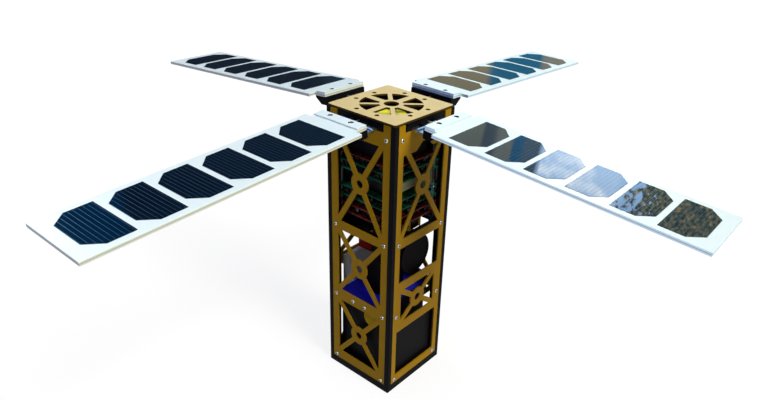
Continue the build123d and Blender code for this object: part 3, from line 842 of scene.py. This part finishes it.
FOLIAGE = ((0.3, "#1A2628"), (0.45, "#29352E"), (0.54, "#4D543E"), (0.62, "#816D40"),
           (0.74, "#C09D5C"))
# noise scales, per metre of wall, and how far the branches reach, as a share of a turn
CLOUD_SCALE, BRANCH_SCALE, LEAF_SCALE = 0.42, 2.0, 3.2
BRANCH_REACH = 0.007
BRANCH_NOISE = (0.3, 0.7)  # the range in which most of the noise lies

# lamps: name, direction from the satellite to it, strength, spread in degrees, colour
LAMPS = (
    ("key", (0.72, -0.02, 0.72), 3.5, 25, "#FFFCF4"),
    ("sky_fill", (-0.5, -0.8, 0.3), 0.85, 60, "#5470FF"),
)


def seen_not_lit(material):
    """1 for rays that show the stage, straight, mirrored or through glass; 0 for light's rays."""
    path = add_node(material, "LightPath")
    seen = path.outputs["Is Camera Ray"]
    for other in ("Is Glossy Ray", "Is Transmission Ray"):
        seen = add_node(material, "Math", {0: seen, 1: path.outputs[other]},
                        operation="MAXIMUM").outputs[0]
    return seen


def stage_piece(name, bm, material):
    """A piece of the stage, which is no part of the satellite."""
    mesh = bpy.data.meshes.new(name)
    bm.to_mesh(mesh)
    bm.free()
    mesh.materials.append(material)
    piece = bpy.data.objects.new(name, mesh)
    bpy.context.scene.collection.objects.link(piece)
    return piece


def share_of_turn(direction):
    """Where a direction from +X, in degrees, lies on the round gradient."""
    return 0.5 + direction / 360


def band(directions):
    """Middle and half width of the band between two directions, as a comparison takes them."""
    first, last = (share_of_turn(d) for d in directions)
    return {1: (first + last) / 2, 2: (last - first) / 2}


def along_wall(stops):
    """Stops of the painted part of the wall, from directions in degrees to shares of its length."""
    length = WALL_TO - WALL_FROM
    return [((direction - WALL_FROM) / length, colour) for direction, colour in stops]


class SATELLITE_OT_stage(bpy.types.Operator):
    """Make the floor, the lights and the camera"""
    bl_idname = "satellite.stage"
    bl_label = "Stage"

    def execute(self, context):
        self.add_camera(context)
        self.add_floor(context)
        self.add_surroundings(context)
        self.add_lights(context)
        context.scene.view_settings.view_transform = "Standard"
        return {"FINISHED"}

    def add_camera(self, context):
        """The camera, turned from the level by its roll."""
        azimuth, elevation, roll = (math.radians(a) for a in
                                    (CAMERA_AZIMUTH, CAMERA_ELEVATION, CAMERA_ROLL))
        back = Vector((math.sin(azimuth) * math.cos(elevation),
                       -math.cos(azimuth) * math.cos(elevation), math.sin(elevation)))
        right = (-back).cross(Vector((0, 0, 1))).normalized()
        up = back.cross(right)
        level = Matrix((right, up, back)).transposed().to_4x4()
        camera = bpy.data.cameras.new("camera")
        camera.sensor_width = SENSOR
        camera.sensor_fit = "HORIZONTAL"
        camera.lens = FOCAL_PIXELS / IMAGE_SIZE[0] * SENSOR
        camera.shift_x = (IMAGE_SIZE[0] / 2 - PRINCIPAL_POINT[0]) / IMAGE_SIZE[0]
        camera.shift_y = (PRINCIPAL_POINT[1] - IMAGE_SIZE[1] / 2) / IMAGE_SIZE[0]
        camera.clip_start = CLIP_START
        holder = bpy.data.objects.new("camera", camera)
        eye = (Vector(CAMERA_TARGET) + back * CAMERA_DISTANCE) * MM
        holder.matrix_world = Matrix.Translation(eye) @ level @ Matrix.Rotation(roll, 4, "Z")
        context.scene.collection.objects.link(holder)
        context.scene.camera = holder

    def add_floor(self, context):
        """A white floor that keeps the satellite's shadow."""
        bm = bmesh.new()
        bmesh.ops.create_circle(bm, cap_ends=True, segments=STAGE_SEGMENTS, radius=FLOOR_R,
                                matrix=Matrix.Translation((0, 0, -FLOOR_GAP)))
        material, shader = start_material("matt_white_floor", Roughness=0.9)
        shader.inputs["Base Color"].default_value = opaque(linear("#707070"))
        lift = add_node(material, "Math", {0: seen_not_lit(material), 1: FLOOR_LIFT},
                        operation="MULTIPLY").outputs[0]
        link(material, lift, shader.inputs["Emission Strength"])
        shader.inputs["Emission Color"].default_value = (1, 1, 1, 1)
        stage_piece("floor", bm, material)

    def add_surroundings(self, context):
        """A far dark wall that only glossy surfaces see, with sky, a building and trees on it."""
        bm = bmesh.new()
        bmesh.ops.create_circle(bm, segments=STAGE_SEGMENTS, radius=WALL_R)
        raised = bmesh.ops.extrude_edge_only(bm, edges=bm.edges[:])
        top = [g for g in raised["geom"] if isinstance(g, bmesh.types.BMVert)]
        bmesh.ops.translate(bm, vec=(0, 0, WALL_TOP), verts=top)
        material, shader = start_material("outdoor_surroundings", Roughness=1.0,
                                          Specular_IOR_Level=0.0)
        shader.inputs["Base Color"].default_value = (0, 0, 0, 1)
        where = add_node(material, "TexCoord").outputs["Object"]
        around = add_node(material, "TexGradient", {0: where}, gradient_type="RADIAL").outputs[1]
        painted = add_node(material, "MapRange", {0: around, 1: share_of_turn(WALL_FROM),
                                                  2: share_of_turn(WALL_TO)}).outputs[0]
        height = add_node(material, "SeparateXYZ", {0: where}).outputs[2]
        upper = add_node(material, "Math", {0: height, 1: WALL_SPLIT},
                         operation="GREATER_THAN").outputs[0]
        high_part = add_node(material, "ValToRGB", {0: painted})
        set_stops(high_part.color_ramp, along_wall(UPPER_WALL))
        sky = self.add_clouds(material, where, around, high_part.outputs[0])
        sky = self.add_trees(material, where, around, sky)
        low_part = add_node(material, "ValToRGB", {0: painted})
        set_stops(low_part.color_ramp, along_wall(LOWER_WALL))
        colour = add_node(material, "Mix", {0: upper, 6: low_part.outputs[0], 7: sky},
                          data_type="RGBA").outputs[2]
        glow = add_node(material, "MapRange", {0: upper, 3: LOWER_GLOW, 4: UPPER_GLOW}).outputs[0]
        link(material, colour, shader.inputs["Emission Color"])
        link(material, glow, shader.inputs["Emission Strength"])
        wall = stage_piece("surroundings", bm, material)
        wall.visible_camera = wall.visible_diffuse = wall.visible_transmission = False
        wall.visible_shadow = wall.visible_volume_scatter = False

    def add_clouds(self, material, where, around, sky):
        """Soft white clouds over the open sky."""
        puffs = add_node(material, "TexNoise", {"Vector": where, "Scale": CLOUD_SCALE,
                                                "Detail": 5.0}).outputs[0]
        thick = add_node(material, "MapRange", {0: puffs, 1: CLOUD_EDGE[0], 2: CLOUD_EDGE[1],
                                                4: CLOUD_COVER}).outputs[0]
        open_sky = add_node(material, "Math", {0: around, **band(CLOUDS)}, operation="COMPARE")
        amount = add_node(material, "Math", {0: open_sky.outputs[0], 1: thick},
                          operation="MULTIPLY").outputs[0]
        return add_node(material, "Mix", {0: amount, 6: sky, 7: linear("#DCE3E4")},
                        data_type="RGBA").outputs[2]

    def add_trees(self, material, where, around, sky):
        """Sunlit trees with ragged edges in front of the sky."""
        ragged = add_node(material, "TexNoise", {"Vector": where, "Scale": BRANCH_SCALE,
                                                 "Detail": 6.0}).outputs[0]
        edge = add_node(material, "MapRange", {0: ragged, 1: BRANCH_NOISE[0], 2: BRANCH_NOISE[1],
                                               3: -BRANCH_REACH, 4: BRANCH_REACH}).outputs[0]
        shifted = add_node(material, "Math", {0: around, 1: edge}, operation="ADD").outputs[0]
        tree = add_node(material, "Math", {0: shifted, **band(TREES)},
                        operation="COMPARE").outputs[0]
        leaves = add_node(material, "TexNoise", {"Vector": where, "Scale": LEAF_SCALE,
                                                 "Detail": 7.0, "Roughness": 0.65}).outputs[0]
        foliage = add_node(material, "ValToRGB", {0: leaves})
        set_stops(foliage.color_ramp, FOLIAGE)
        return add_node(material, "Mix", {0: tree, 6: sky, 7: foliage.outputs[0]},
                        data_type="RGBA").outputs[2]

    def add_lights(self, context):
        """A white world that lights weakly, a broad sun and a bluish fill from the sky."""
        world = bpy.data.worlds.new("world")
        context.scene.world = world
        world.use_nodes = True
        background = world.node_tree.nodes["Background"]
        background.inputs["Color"].default_value = (1, 1, 1, 1)
        strength = add_node(world, "MapRange", {0: seen_not_lit(world), 3: WORLD_LIGHT, 4: 1.0})
        link(world, strength.outputs[0], background.inputs["Strength"])
        for lamp in LAMPS:
            self.add_sun(context, *lamp)

    def add_sun(self, context, name, toward, strength, spread, hex_colour):
        """A broad distant lamp; toward points from the satellite to the lamp."""
        lamp = bpy.data.lights.new(name, "SUN")
        lamp.energy = strength
        lamp.angle = math.radians(spread)
        lamp.color = linear(hex_colour)
        holder = bpy.data.objects.new(name, lamp)
        holder.rotation_euler = Vector(toward).to_track_quat("Z", "Y").to_euler()
        context.scene.collection.objects.link(holder)


OPERATORS = (SATELLITE_OT_metalwork, SATELLITE_OT_boards, SATELLITE_OT_panels, SATELLITE_OT_hinges,
             SATELLITE_OT_screws, SATELLITE_OT_camera, SATELLITE_OT_stage)


class SATELLITE_PT_sidebar(bpy.types.Panel):
    """Lists the steps that dress the satellite"""
    bl_idname = "SATELLITE_PT_sidebar"
    bl_label = "Satellite"
    bl_space_type = "VIEW_3D"
    bl_region_type = "UI"
    bl_category = "Satellite"

    def draw(self, context):
        for operator in OPERATORS:
            self.layout.operator(operator.bl_idname)
        for group in (context.scene.satellite_finish, context.scene.satellite_sizes):
            for name in group.bl_rna.properties.keys():
                if name not in ("rna_type", "name"):
                    self.layout.prop(group, name)


CLASSES = (SatelliteFinish, SatelliteSizes, *OPERATORS, SATELLITE_PT_sidebar)


def register():
    """Make the satellite's settings and steps known to Blender."""
    for cls in CLASSES:
        bpy.utils.register_class(cls)
    bpy.types.Scene.satellite_finish = bpy.props.PointerProperty(type=SatelliteFinish)
    bpy.types.Scene.satellite_sizes = bpy.props.PointerProperty(type=SatelliteSizes)


def unregister():
    """Take them away again."""
    del bpy.types.Scene.satellite_sizes
    del bpy.types.Scene.satellite_finish
    for cls in reversed(CLASSES):
        bpy.utils.unregister_class(cls)


def main():
    """Dress the satellite step by step."""
    register()
    bpy.ops.satellite.metalwork()
    bpy.ops.satellite.boards()
    bpy.ops.satellite.panels()
    bpy.ops.satellite.hinges()
    bpy.ops.satellite.screws()
    bpy.ops.satellite.camera()
    bpy.ops.satellite.stage()


if __name__ == "__main__":
    main()
